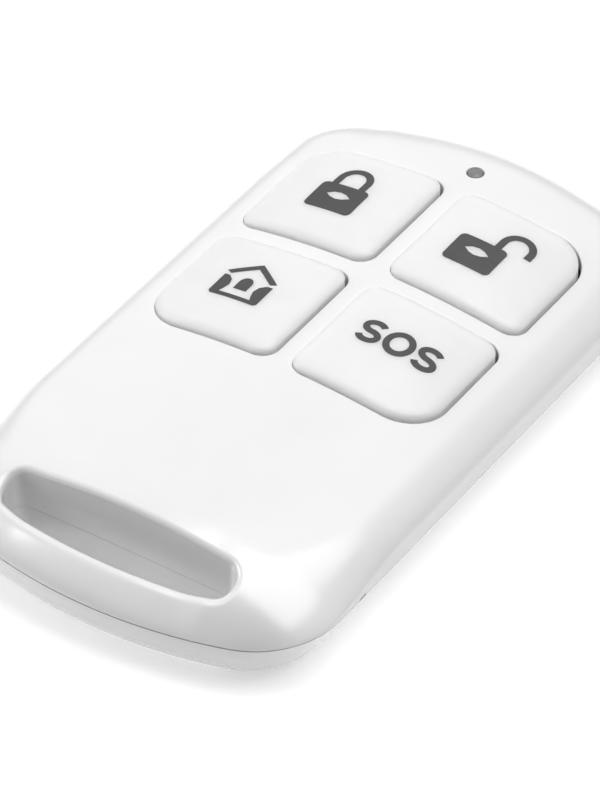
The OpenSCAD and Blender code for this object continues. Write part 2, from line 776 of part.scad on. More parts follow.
// Wire loop antenna, standing on the board under the grip
loop_in = 8;
loop_back = 2.5;
loop_stop = 3;
loop_x = half_w - loop_in;
loop_r = 2;
loop_up = 0.4;
y_loop = [y_inside + loop_back, row_y[0] - loop_stop];
module antenna_loop() {
    z = z_board_top + loop_up + wire_d / 2;
    color("peru") {
        translate([loop_r - loop_x, y_loop[0], z]) rotate([0, 90, 0])
            cylinder(h = 2 * (loop_x - loop_r), d = wire_d);
        for (s = [-1, 1]) {
            translate([s * (loop_x - loop_r), y_loop[0] + loop_r, z]) rotate([0, 0, s > 0 ? 270 : 180])
                rotate_extrude(angle = 90) translate([loop_r, 0]) circle(d = wire_d);
            translate([s * loop_x, y_loop[0] + loop_r, z]) rotate([-90, 0, 0])
                cylinder(h = y_loop[1] - y_loop[0] - loop_r, d = wire_d);
            translate([s * loop_x, y_loop[1], z]) sphere(d = wire_d);
            translate([s * loop_x, y_loop[1], z_board_top]) cylinder(h = z - z_board_top, d = wire_d);
        }
    }
}

// Coin cell, with the wide positive can below and the smaller negative cap above
can_edge = 0.4;
rim_drop = 0.3;
rim_edge = 0.3;
seal_w = 0.7;
cap_slope = 0.2;
module coin_cell() {
    r = cell_d / 2;
    rim_r = r - can_edge;
    cap_r = rim_r - seal_w;
    color("silver")
    translate([0, y_cell, z_cell]) rotate_extrude()
        polygon([[0, 0], [rim_r, 0], [r, can_edge], [r, cell_h - rim_drop - rim_edge], [rim_r, cell_h - rim_drop],
                 [cap_r, cell_h - rim_drop], [cap_r - cap_slope, cell_h], [0, cell_h]]);
}

// Positive clip: a strip under the cell with uprights soldered to the board
clip_play = 0.3;
clip_foot = 1.4;
module battery_clip() {
    x = cell_d / 2 + clip_play;
    color("lightsteelblue") {
        translate([-x - clip_t, y_cell - clip_w / 2, z_clip]) cube([2 * (x + clip_t), clip_w, clip_t]);
        for (s = [-1, 1]) {
            translate([s * (x + clip_t / 2) - clip_t / 2, y_cell - clip_w / 2, z_clip])
                cube([clip_t, clip_w, z_board - z_clip]);
            translate([s * (x + clip_foot / 2) - clip_foot / 2, y_cell - clip_w / 2, z_board - clip_t])
                cube([clip_foot, clip_w, clip_t]);
        }
    }
}

// Negative contact: a pad on the board with a pressed button that meets the cell
contact_l = 8;
contact_w = 5;
contact_t = 0.12;
button_d = 2.6;
module battery_contact() {
    color("lightsteelblue") {
        translate([-contact_l / 2, y_cell - contact_w / 2, z_board - contact_t])
            cube([contact_l, contact_w, contact_t]);
        translate([0, y_cell, z_contact]) cylinder(h = contact_h - contact_t + eps, d = button_d);
    }
}

// Screws that hold the board to the front shell
head_d = 2.8;
head_h = 0.8;
recess_l = 1.7;
recess_w = 0.4;
recess_h = 0.4;
module board_screws() {
    color("silver")
    for (s = [-1, 1])
        translate([s * screw_x, y_screw, z_board])
            difference() {
                union() {
                    translate([0, 0, -head_h]) cylinder(h = head_h, d = head_d);
                    translate([0, 0, -eps]) cylinder(h = screw_l, d = screw_d);
                }
                for (turn = [0, 90])
                    rotate([0, 0, turn]) translate([-recess_l / 2, -recess_w / 2, -head_h - eps])
                        cube([recess_l, recess_w, recess_h + eps]);
            }
}

front_shell();
rear_shell();
key_cap(LOCK);  // lock_key
key_cap(UNLOCK);  // unlock_key
key_cap(HOME);  // home_key
key_cap(SOS);  // sos_key
circuit_board();
switch_housing(LOCK);  // lock_switch
switch_housing(UNLOCK);  // unlock_switch
switch_housing(HOME);  // home_switch
switch_housing(SOS);  // sos_switch
switch_cover(LOCK);  // lock_switch_cover
switch_cover(UNLOCK);  // unlock_switch_cover
switch_cover(HOME);  // home_switch_cover
switch_cover(SOS);  // sos_switch_cover
switch_plunger(LOCK);  // lock_plunger
switch_plunger(UNLOCK);  // unlock_plunger
switch_plunger(HOME);  // home_plunger
switch_plunger(SOS);  // sos_plunger
switch_dome(LOCK);  // lock_dome
switch_dome(UNLOCK);  // unlock_dome
switch_dome(HOME);  // home_dome
switch_dome(SOS);  // sos_dome
switch_terminals();
status_led();
light_guide();
encoder_chip();
saw_resonator();
rf_transistor();
chip_resistors();
chip_capacitors();
antenna_loop();
coin_cell();
battery_clip();
battery_contact();
board_screws();
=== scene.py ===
# Looks of a four-key alarm fob with a keyring slot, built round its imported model.
# Lengths are in millimetres until a mesh is made, in the model's own frame:
# X across the case, +Y to the LED end, +Z up through the keys.
import json
import math
from collections import namedtuple

import bpy
import numpy as np
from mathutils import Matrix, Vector
from mathutils.geometry import delaunay_2d_cdt


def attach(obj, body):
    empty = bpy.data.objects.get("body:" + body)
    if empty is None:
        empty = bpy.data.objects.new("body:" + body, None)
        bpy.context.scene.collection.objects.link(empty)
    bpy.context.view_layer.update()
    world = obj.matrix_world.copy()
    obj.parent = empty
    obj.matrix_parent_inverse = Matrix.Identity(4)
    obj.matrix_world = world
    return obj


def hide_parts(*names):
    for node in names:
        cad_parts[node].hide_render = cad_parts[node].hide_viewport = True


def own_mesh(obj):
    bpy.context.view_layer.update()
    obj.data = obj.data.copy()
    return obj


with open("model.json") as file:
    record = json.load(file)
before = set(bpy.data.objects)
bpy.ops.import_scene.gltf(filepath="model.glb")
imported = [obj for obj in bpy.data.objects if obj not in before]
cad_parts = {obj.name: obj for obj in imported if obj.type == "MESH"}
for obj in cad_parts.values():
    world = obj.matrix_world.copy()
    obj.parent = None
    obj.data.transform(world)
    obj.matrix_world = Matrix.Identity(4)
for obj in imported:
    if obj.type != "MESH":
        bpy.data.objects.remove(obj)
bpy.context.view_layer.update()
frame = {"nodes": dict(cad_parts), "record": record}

MM = 0.001
# Smallest length that counts, half the width of a sharp step in a height field, and the span of a slope
TINY = 1e-6
STEP = 0.01
SLOPE_SPAN = 1e-4

# Case
BODY_W, BODY_L = 31.0, 55.5
HALF_W = BODY_W / 2
SLOT_END_R, LED_END_R = 35.2, 34.0
SLOT_CORNER_R, LED_CORNER_R = 6.8, 6.7
CROWN_R = 61.0
Z_SEAM, Z_TOP = 4.0, 8.2
WALL, ROOF, FLOOR = 1.2, 1.1, 1.2
# Widths of the hollow's rolled edge, and of the lower half's belly
SIDE_ROLL, END_ROLL = 2.9, 6.45
SIDE_BELLY, END_BELLY = 3.6, 3.7
INNER_EASE, ROLL_LIMIT = 0.7, 6.5
# Soft edge of the upper half: its width and fullness along the sides, at the LED and at the slot
SOFT_POWER = 2.2
SIDE_RUN, SIDE_ROOT = 2.9, 0.52
LED_RUN, LED_ROOT = 6.2, 0.62
SLOT_RUN, SLOT_ROOT = 8.5, 0.75
# Share of an end's soft edge at its corners, and its reach along the case: 1 at the LED, -1 at the slot
CORNER_SHARE = {1: 0.25, -1: 0.9}
CORNER_REACH = {1: 10.0, -1: 11.0}
CORNER_RUN, CORNER_EASE, BLEND_POWER = 6.6, 2.5, 8
# Shadow gap at the parting line
END_GAP, SIDE_GAP, SLOT_GAP, SEAM_DEPTH = 0.11, 0.045, 0.03, 0.3
# Pry notch
NOTCH_Y, NOTCH_L, NOTCH_LOW, NOTCH_HIGH, NOTCH_D = -17.2, 0.7, 3.96, 4.16, 0.2
# Each end as [side, centre of its curve, radius of its curve, radius of its corners]
ENDS = ((1, BODY_L / 2 - LED_END_R, LED_END_R, LED_CORNER_R),
        (-1, SLOT_END_R - BODY_L / 2, SLOT_END_R, SLOT_CORNER_R))

# Keyring slot
SLOT_HALF, SLOT_HI, SLOT_LO = 9.2, -21.65, -25.3
SLOT_GRIP_R, SLOT_BAR_R, SLOT_R = 400.0, 32.75, 1.2
SLOT_FILLET, GRIP_FILLET, BAR_FILLET = 0.7, 0.4, 1.0
Y_INSIDE = -20.5

# Each key as (column, row): column -1 at the left, row 1 towards the LED
KEYS = {"lock": (-1, 1), "unlock": (1, 1), "home": (-1, 0), "sos": (1, 0)}
KEY_X = (0.68, 11.75)
ROW_Y = (-4.05, 8.3)
KEY_H = 10.95
KEY_BLOCK_R, KEY_CORNER_R = 3.3, 1.35
KEY_GAP, KEY_PROUD, KEY_CROWN = 0.12, 0.47, 0.38
KEY_EDGE_W, KEY_EDGE_H = 0.75, 0.4
# The keys sit a hair towards the slot end and the left in their openings
KEY_SHIFT = (-0.07, -0.07)
KEY_WALL = 1.2
KEY_FILLET = 0.12
Z_TAB, Z_KEY_UNDER, Z_PLUNGER = 5.903, 7.115, 6.85
POST_R = 1.2
TAB_W, TAB_L, TAB_T = 3.0, 0.5, 0.6

# Light guide
LED_Y, GUIDE_R, GUIDE_PLAY, GUIDE_FILLET = 21.5, 0.58, 0.05, 0.12
GUIDE_SINK, GUIDE_DOME = 0.12, 0.16
Z_PAD, PAD_R, COLLAR_R, COLLAR_T = 6.6, 1.5, 1.3, 0.45

# Inside of the case
Z_BOARD_TOP = 5.3
SCREW_X, SCREW_Y, SCREW_R, BOSS_R = 10.2, -17.0, 0.85, 1.7
PEG_X, PEG_Y, PEG_R, PEG_SHOULDER_R, PEG_LOW = 8.8, 20.65, 0.6, 1.1, 3.9
REST_X, REST_Y, REST_R, REST_TOP = 5.5, 20.7, 1.2, 4.2
CELL_Y, TRAY_IN, TRAY_OUT, TRAY_TOP, TRAY_OPEN = -8.3, 10.35, 11.15, 3.69, 2.5
LIP_X, LIP_Y, LIP_Z = (13.05, 13.75), (-18.5, 16.25), (2.4, 4.6)
SNAP_X, SNAP_Y, SNAP_L, SNAP_Z = (13.55, 14.3), (-7.3, 10.3), 6.0, (4.2, 4.5)
Z_POCKET, DOME_H, DOME_R, DOME_T = 5.55, 0.37, 1.45, 0.08

# Fineness of the meshes
OUTLINE_STEP, HOLE_STEP, GRID_STEP, KEY_GRID = 0.4, 0.22, 0.8, 0.56
TURN_STEPS, DOME_STEPS, HALVINGS = 48, 9, 40
ROLL_RINGS, EDGE_RINGS, KEY_RINGS = 18, 7, 10
# The rings of the upper half lie closer near its edge, over a width this many times its roll
RING_POWER, RING_WIDTH = 1.6, 1.318
# Room kept between rings and fill
GUARD = 0.2
# Fewest points of an arc, digits to which points are joined, and the finer step round the slot
ARC_LEAST, JOIN_DIGITS, FINE_STEP = 3, 5, 0.055


# Form of the case

def eased(t):
    """Smooth step from 0 to 1."""
    t = np.clip(t, 0, 1)
    return t * t * (3 - 2 * t)


def crown(x):
    return CROWN_R - np.sqrt(CROWN_R ** 2 - x ** 2)


def top_z(x):
    """Height of the crowned top across the case."""
    return Z_TOP - crown(x)


def ceiling_z(x):
    """Height of the roof's underside across the case."""
    return Z_TOP - CROWN_R + np.sqrt((CROWN_R - ROOF) ** 2 - x ** 2)


def edge_field(p):
    """Distance in from the case's outline, and the direction that the nearest edge faces."""
    ax = np.abs(p[:, 0])
    inset = HALF_W - ax
    nx = np.ones(len(p))
    ny = np.zeros(len(p))
    for side, centre, end_r, corner_r in ENDS:
        reach = side * (p[:, 1] - centre)
        far = np.maximum(np.hypot(ax, reach), TINY)
        at_end = (end_r - far < inset) & (reach > 0)
        mid = HALF_W - corner_r
        up = math.sqrt((end_r - corner_r) ** 2 - mid ** 2)
        cx = ax - mid
        cy = reach - up
        near = np.maximum(np.hypot(cx, cy), TINY)
        in_corner = (cx > 0) & (cy > 0) & (cy * mid <= cx * up)
        for where, d, vx, vy in ((at_end, end_r - far, ax / far, reach / far),
                                 (in_corner, corner_r - near, cx / near, cy / near)):
            inset = np.where(where, d, inset)
            nx = np.where(where, vx, nx)
            ny = np.where(where, side * vy, ny)
    return inset, nx * np.where(p[:, 0] < 0, -1, 1), ny


def roll(nx, ny):
    return SIDE_ROLL * nx ** 2 + END_ROLL * ny ** 2


def near_end(p):
    """How near a point is to an end of the case: 0 along its middle, up to a share at the end."""
    share = np.zeros(len(p))
    for side, centre, end_r, _ in ENDS:
        reach = side * (p[:, 1] - centre)
        near = eased(1 - (end_r - np.hypot(p[:, 0], reach)) / CORNER_REACH[side]) * (reach > 0)
        share = np.maximum(share, CORNER_SHARE[side] * near)
    return share


def upper_z(p):
    """Height of the upper half's outside, which rolls off softly, and more widely at its ends."""
    inset, nx, ny = edge_field(p)
    wide = 1 - (1 - ny ** 2) * (1 - near_end(p))
    at_led = p[:, 1] > 0
    run = SIDE_RUN + (np.where(at_led, LED_RUN, SLOT_RUN) - SIDE_RUN) * wide
    root = SIDE_ROOT + (np.where(at_led, LED_ROOT, SLOT_ROOT) - SIDE_ROOT) * wide
    off_corner = eased((HALF_W - SLOT_CORNER_R - np.abs(p[:, 0])) / CORNER_EASE)
    limit = CORNER_RUN + (SLOT_RUN - CORNER_RUN) * off_corner
    run = (run ** -BLEND_POWER + limit ** -BLEND_POWER) ** (-1 / BLEND_POWER)
    u = np.clip(inset / run, 0, 1)
    return Z_SEAM + (top_z(p[:, 0]) - Z_SEAM) * (1 - (1 - u) ** SOFT_POWER) ** root


def seam_gap(ny):
    """Height of the shadow gap at the parting line, which is finer along the sides."""
    return SIDE_GAP + (END_GAP - SIDE_GAP) * ny ** 2


def upper_inside_z(p, from_slot):
    """Height of the upper half's underside: the hollow, or the parting line with its shadow gap."""
    inset, nx, ny = edge_field(p)
    run = np.minimum(roll(nx, ny) - INNER_EASE, ROLL_LIMIT - WALL)
    u = np.clip((inset - WALL) / run, 0, 1)
    hollow = Z_SEAM + (top_z(p[:, 0]) - ROOF - Z_SEAM) * u * (2 - u)
    hollow = np.minimum(hollow, ceiling_z(p[:, 0]))
    rim = np.where(from_slot < SEAM_DEPTH, Z_SEAM + SLOT_GAP, Z_SEAM)
    rim = np.where(inset < SEAM_DEPTH, Z_SEAM + seam_gap(ny), rim)
    pad = np.hypot(p[:, 0], p[:, 1] - LED_Y) < PAD_R
    hollow = np.where(pad, Z_PAD, hollow)
    return np.where((inset > WALL) & (p[:, 1] > Y_INSIDE), hollow, rim)


def lower_share(inset, side, end):
    """Share of the lower half's height that is reached at a distance in from its outline."""
    low = np.zeros(len(inset))
    high = np.ones(len(inset))
    for _ in range(HALVINGS):
        s = (low + high) / 2
        short = side * (1 - np.sqrt(1 - s)) + end * (1 - np.sqrt(1 - s * s)) < inset
        low = np.where(short, s, low)
        high = np.where(short, high, s)
    return (low + high) / 2


def lower_form(p):
    """Height of the lower half's outside, and the direction that it faces."""
    inset, nx, ny = edge_field(p)
    side = SIDE_BELLY * nx ** 2
    end = END_BELLY * ny ** 2
    s = lower_share(np.maximum(inset, 0), side, end)
    left = np.maximum(1 - s, TINY)
    run = side / (2 * np.sqrt(left)) + end * s / np.sqrt(left * (1 + s))
    return Z_SEAM * (1 - s), unit(np.c_[Z_SEAM * nx, Z_SEAM * ny, -run])


def lower_inside_z(p):
    """Height of the lower half's upper side: its floor, or the parting line."""
    inset, nx, ny = edge_field(p)
    side = np.maximum(SIDE_BELLY - INNER_EASE, 0) * nx ** 2
    end = np.maximum(END_BELLY - INNER_EASE, 0) * ny ** 2
    s = lower_share(np.maximum(inset - WALL, 0), side, end)
    hollow = Z_SEAM - (Z_SEAM - FLOOR) * s
    return np.where((inset > WALL) & (p[:, 1] > Y_INSIDE), hollow, Z_SEAM)


def unit(v):
    return v / np.linalg.norm(v, axis=1)[:, None]


def facing(height, p):
    """Direction that a height field faces."""
    h = SLOPE_SPAN
    dx = (height(p + [h, 0]) - height(p - [h, 0])) / (2 * h)
    dy = (height(p + [0, h]) - height(p - [0, h])) / (2 * h)
    return unit(np.c_[-dx, -dy, np.ones(len(p))])


# Closed loops in plan, counterclockwise, with the directions that they face

Loop = namedtuple("Loop", "points normals")


def joined(parts):
    return Loop(np.vstack([p for p, _ in parts]), np.vstack([n for _, n in parts]))


def arc(cx, cy, r, a0, a1, step):
    count = max(int(abs(r * (a1 - a0)) / step), ARC_LEAST)
    a = a0 + (a1 - a0) * np.arange(count) / count
    n = np.c_[np.cos(a), np.sin(a)]
    return [cx, cy] + r * n, n


def straight(start, end, normal, step):
    start = np.array(start, float)
    run = np.array(end, float) - start
    count = max(int(np.linalg.norm(run) / step), 1)
    return start + run * (np.arange(count) / count)[:, None], np.tile(normal, (count, 1)).astype(float)


def ended_loop(half, far, near, step):
    """Outline with two straight sides and two curved ends, each end as (y, radius, corner radius)."""
    ends = []
    for side, (y, r, k) in ((1, far), (-1, near)):
        mid = half - k
        up = math.sqrt((r - k) ** 2 - mid ** 2)
        centre = y - side * r
        ends.append((centre, centre + side * up, math.atan2(up, mid), r, k))
    (far_c, far_y, far_a, far_r, far_k), (near_c, near_y, near_a, near_r, near_k) = ends
    pi = math.pi
    return joined([
        arc(0, near_c, near_r, pi + near_a, 2 * pi - near_a, step),
        arc(half - near_k, near_y, near_k, -near_a, 0, step),
        straight((half, near_y), (half, far_y), (1, 0), step),
        arc(half - far_k, far_y, far_k, 0, far_a, step),
        arc(0, far_c, far_r, far_a, pi - far_a, step),
        arc(far_k - half, far_y, far_k, pi - far_a, pi, step),
        straight((-half, far_y), (-half, near_y), (-1, 0), step),
        arc(near_k - half, near_y, near_k, pi, pi + near_a, step)])


def rounded_loop(x0, x1, y0, y1, radii, step):
    """Rectangle with its own radius at each corner, from the low left one round."""
    a, b, c, d = radii
    q = math.pi / 2
    return joined([
        arc(x0 + a, y0 + a, a, 2 * q, 3 * q, step), straight((x0 + a, y0), (x1 - b, y0), (0, -1), step),
        arc(x1 - b, y0 + b, b, 3 * q, 4 * q, step), straight((x1, y0 + b), (x1, y1 - c), (1, 0), step),
        arc(x1 - c, y1 - c, c, 0, q, step), straight((x1 - c, y1), (x0 + d, y1), (0, 1), step),
        arc(x0 + d, y1 - d, d, q, 2 * q, step), straight((x0, y1 - d), (x0, y0 + a), (-1, 0), step)])


def ring_loop(cx, cy, r, count):
    a = 2 * math.pi * np.arange(count) / count
    n = np.c_[np.cos(a), np.sin(a)]
    return Loop([cx, cy] + r * n, n)


def polygon_loop(points, step):
    """Polygon with points added along its edges, turned counterclockwise."""
    p = np.array(points, float)
    q = np.roll(p, -1, axis=0)
    if np.sum(p[:, 0] * q[:, 1] - q[:, 0] * p[:, 1]) < 0:
        p = p[::-1]
        q = np.roll(p, -1, axis=0)
    parts = []
    for a, b in zip(p, q):
        run = b - a
        parts.append(straight(a, b, np.array([run[1], -run[0]]) / np.linalg.norm(run), step))
    return joined(parts)


def inside(p, loop):
    """Which points lie inside a loop."""
    a = loop.points
    b = np.roll(a, -1, axis=0)
    x, y = p[:, :1], p[:, 1:]
    crosses = (a[:, 1] > y) != (b[:, 1] > y)
    rise = np.where(np.abs(b[:, 1] - a[:, 1]) < TINY, TINY, b[:, 1] - a[:, 1])
    return np.sum(crosses & (x < a[:, 0] + (y - a[:, 1]) * (b[:, 0] - a[:, 0]) / rise), axis=1) % 2 == 1


def distance(p, loop):
    """Distance from points to a loop's line."""
    return np.array([np.min(np.hypot(*(loop.points - q).T)) for q in p])


def grid(x0, x1, y0, y1, step):
    x, y = np.meshgrid(np.arange(x0, x1, step), np.arange(y0, y1, step))
    x = x + step / 2 * (np.arange(len(y)) % 2)[:, None]
    return np.c_[x.ravel(), y.ravel()]


# Meshes

class Shape:
    """Faces of one piece, each with the directions that its corners face."""

    def __init__(self):
        self.points = []
        self.faces = []
        self.normals = []
        self.count = 0

    def add(self, points, faces, normals=None):
        points = np.asarray(points, float)
        faces = np.asarray(faces, int)
        corners = points[faces]
        if normals is None:
            flat = np.cross(corners[:, 1] - corners[:, 0], corners[:, 2] - corners[:, 0])
            flat /= np.maximum(np.linalg.norm(flat, axis=1), TINY ** 2)[:, None]
            self.normals.append(np.repeat(flat[:, None], faces.shape[1], axis=1))
        else:
            self.normals.append(normals[faces])
        self.points.append(points)
        self.faces.append(faces + self.count)
        self.count += len(points)

    def strip(self, upper, lower, normals=None):
        """Wall between two loops of equal count, facing away from what they go round."""
        n = len(upper)
        i = np.arange(n)
        j = (i + 1) % n
        self.add(np.vstack([upper, lower]), np.c_[n + i, n + j, j, i],
                 None if normals is None else np.vstack([normals, normals]))

    def turned(self, x, y, profile):
        """Solid turned round an upright axis, from a closed profile of (radius, height) pairs."""
        r, z = np.array(profile, float).T
        rings = [np.c_[ring_loop(x, y, max(a, TINY), TURN_STEPS).points, np.full(TURN_STEPS, b)]
                 for a, b in zip(r, z)]
        out = ring_loop(0, 0, 1, TURN_STEPS).points
        for k in range(len(rings) - 1):
            dr, dz = r[k + 1] - r[k], z[k + 1] - z[k]
            if math.hypot(dr, dz) < TINY:
                continue
            normals = np.c_[out * dz, np.full(TURN_STEPS, -dr)] / math.hypot(dr, dz)
            self.strip(rings[k + 1], rings[k], normals)

    def block(self, x, y, z):
        """Box between pairs of coordinates."""
        p = np.array([(a, b, c) for c in z for b in y for a in x], float)
        self.add(p, [(0, 2, 3, 1), (4, 5, 7, 6), (0, 1, 5, 4), (2, 6, 7, 3), (0, 4, 6, 2), (1, 3, 7, 5)])

    def piece(self, name, material, body, replaces=()):
        """Object made of the faces, joined where they meet."""
        points = np.vstack(self.points)
        keep, back = np.unique(np.round(points, JOIN_DIGITS), axis=0, return_inverse=True)
        back = back.ravel()
        faces = []
        normals = []
        for group, facing_group in zip(self.faces, self.normals):
            for face, corner_normals in zip(back[group], facing_group):
                used = [k for k in range(len(face)) if face[k] != face[k - 1]]
                if len(used) > 2 and len(set(face[used])) == len(used):
                    faces.append(face[used].tolist())
                    normals.extend(corner_normals[used].tolist())
        mesh = bpy.data.meshes.new(name)
        mesh.from_pydata((keep * MM).tolist(), [], faces)
        mesh.polygons.foreach_set("use_smooth", [True] * len(faces))
        mesh.normals_split_custom_set(normals)
        mesh.materials.append(material)
        made = bpy.data.objects.new(name, mesh)
        bpy.context.scene.collection.objects.link(made)
        if replaces:
            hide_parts(*replaces)
        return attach(made, body)


class Plan:
    """Points of a height field in plan. Each may be dropped below the field and turned to one side."""

    def __init__(self):
        self.xy = np.zeros((0, 2))
        self.drop = np.zeros(0)
        self.up = np.zeros(0)
        self.side = np.zeros((0, 2))
        self.bounds = []

    def add(self, xy, drop=0.0, up=1.0, side=None, bound=False):
        start = len(self.xy)
        n = len(xy)
        self.xy = np.vstack([self.xy, xy])
        self.drop = np.r_[self.drop, np.full(n, drop)]
        self.up = np.r_[self.up, np.full(n, up)]
        self.side = np.vstack([self.side, np.zeros((n, 2)) if side is None else side])
        if bound:
            self.bounds.append(np.arange(start, start + n))

    def fillet(self, loop, radius, inner=(), out=1, rings=EDGE_RINGS, height=None):
        """Rounded edge along a loop: of a hole where out is 1, or of an island where out is -1."""
        n = len(loop.points)
        radius = np.broadcast_to(radius, n)
        height = radius if height is None else np.broadcast_to(height, n)
        turns = [np.full(n, math.pi / 2 * k / rings) for k in range(rings + 1)]
        turns += [np.arccos(1 - np.minimum(d / radius, 1)) for d in inner]
        for k, t in enumerate(turns):
            up, turn = np.sin(t) / height, np.cos(t) / radius
            size = np.hypot(up, turn)
            away = loop.normals * (out * radius * (1 - np.cos(t)))[:, None]
            side = -out * loop.normals * (turn / size)[:, None]
            self.add(loop.points + away, height * (1 - np.sin(t)), up / size, side, bound=k == 0)

    def triangles(self, outer, holes):
        """Triangles over the points inside one loop and outside others."""
        edges = [(int(a), int(b)) for ids in self.bounds for a, b in zip(ids, np.roll(ids, -1))]
        found = delaunay_2d_cdt([Vector(p) for p in self.xy], edges, [], 0, TINY)
        kept = np.array([ids[0] for ids in found[3]])
        t = kept[np.array([f[:3] for f in found[2]])]
        p = self.xy[t]
        area = np.cross(p[:, 1] - p[:, 0], p[:, 2] - p[:, 0])
        middle = p.mean(axis=1)
        good = (np.abs(area) > TINY) & inside(middle, outer)
        for hole in holes:
            good &= ~inside(middle, hole)
        t = t[good]
        return np.where(area[good][:, None] > 0, t, t[:, ::-1])


def field_solid(shape, plan, triangles, top, top_normals, bottom):
    """Upper and lower faces of a solid between two height fields over one plan."""
    upper = np.c_[plan.xy, top]
    lower = np.c_[plan.xy, bottom]
    shape.add(upper, triangles, top_normals)
    shape.add(lower, triangles[:, ::-1])


def rounded_normals(plan, base):
    """Directions of a height field's points, turned to the side along its rounded edges."""
    return unit(base * plan.up[:, None] + np.c_[plan.side, np.zeros(len(plan.xy))])


# Outlines of the keys, the case and the slot

def key_corners(key, inset):
    """Sides and corner radii of a key's outline, drawn in from its opening."""
    column, row = KEYS[key]
    x0, x1 = KEY_X if column > 0 else (-KEY_X[1], -KEY_X[0])
    y0 = ROW_Y[row]
    radii = [KEY_CORNER_R - inset] * 4
    outer = {(-1, 0): 0, (1, 0): 1, (1, 1): 2, (-1, 1): 3}[(column, row)]
    radii[outer] = KEY_BLOCK_R - inset
    return (x0 + inset, x1 - inset, y0 + inset, y0 + KEY_H - inset), radii


def key_loop(key, inset):
    sides, radii = key_corners(key, inset)
    return rounded_loop(*sides, radii, HOLE_STEP)


def key_middle(key):
    column, row = KEYS[key]
    return column * sum(KEY_X) / 2, ROW_Y[row] + KEY_H / 2


def key_z(key, p):
    """Height of a key's top, apart from its rounded edge."""
    cx, cy = key_middle(key)
    u = (p[:, 0] - cx) / ((KEY_X[1] - KEY_X[0]) / 2)
    v = (p[:, 1] - cy) / (KEY_H / 2)
    return top_z(p[:, 0]) + KEY_PROUD + KEY_CROWN * (1 - u ** 2) * (1 - v ** 2)


def case_loop(step):
    far = (BODY_L / 2, LED_END_R, LED_CORNER_R)
    near = (-BODY_L / 2, SLOT_END_R, SLOT_CORNER_R)
    return ended_loop(HALF_W, far, near, step)


def notched(loop):
    """The case's outline with points added at the ends of the pry notch."""
    y = np.array([end + d for end in (NOTCH_Y, NOTCH_Y + NOTCH_L) for d in (-STEP, STEP)])
    on_side = np.flatnonzero(HALF_W - loop.points[:, 0] < TINY)
    at = on_side[np.searchsorted(loop.points[on_side, 1], y)]
    return Loop(np.insert(loop.points, at, np.c_[np.full(len(y), HALF_W), y], axis=0),
                np.insert(loop.normals, at, [1, 0], axis=0))


def in_notch(p):
    """Which points lie in the pry notch at the parting line."""
    return (p[:, 0] > HALF_W - NOTCH_D) & (np.abs(p[:, 1] - NOTCH_Y - NOTCH_L / 2) < NOTCH_L / 2)


def slot_loop(step):
    return ended_loop(SLOT_HALF, (SLOT_HI, SLOT_GRIP_R, SLOT_R), (SLOT_LO, SLOT_BAR_R, SLOT_R), step)


def clear_of(points, holes):
    """The points that keep away from each (loop, distance) pair."""
    for loop, gap in holes:
        low = loop.points.min(axis=0) - gap
        high = loop.points.max(axis=0) + gap
        near = np.all((points > low) & (points < high), axis=1)
        drop = np.zeros(len(points), bool)
        drop[near] = inside(points[near], loop) | (distance(points[near], loop) < gap)
        points = points[~drop]
    return points


# Halves of the case, and the keys

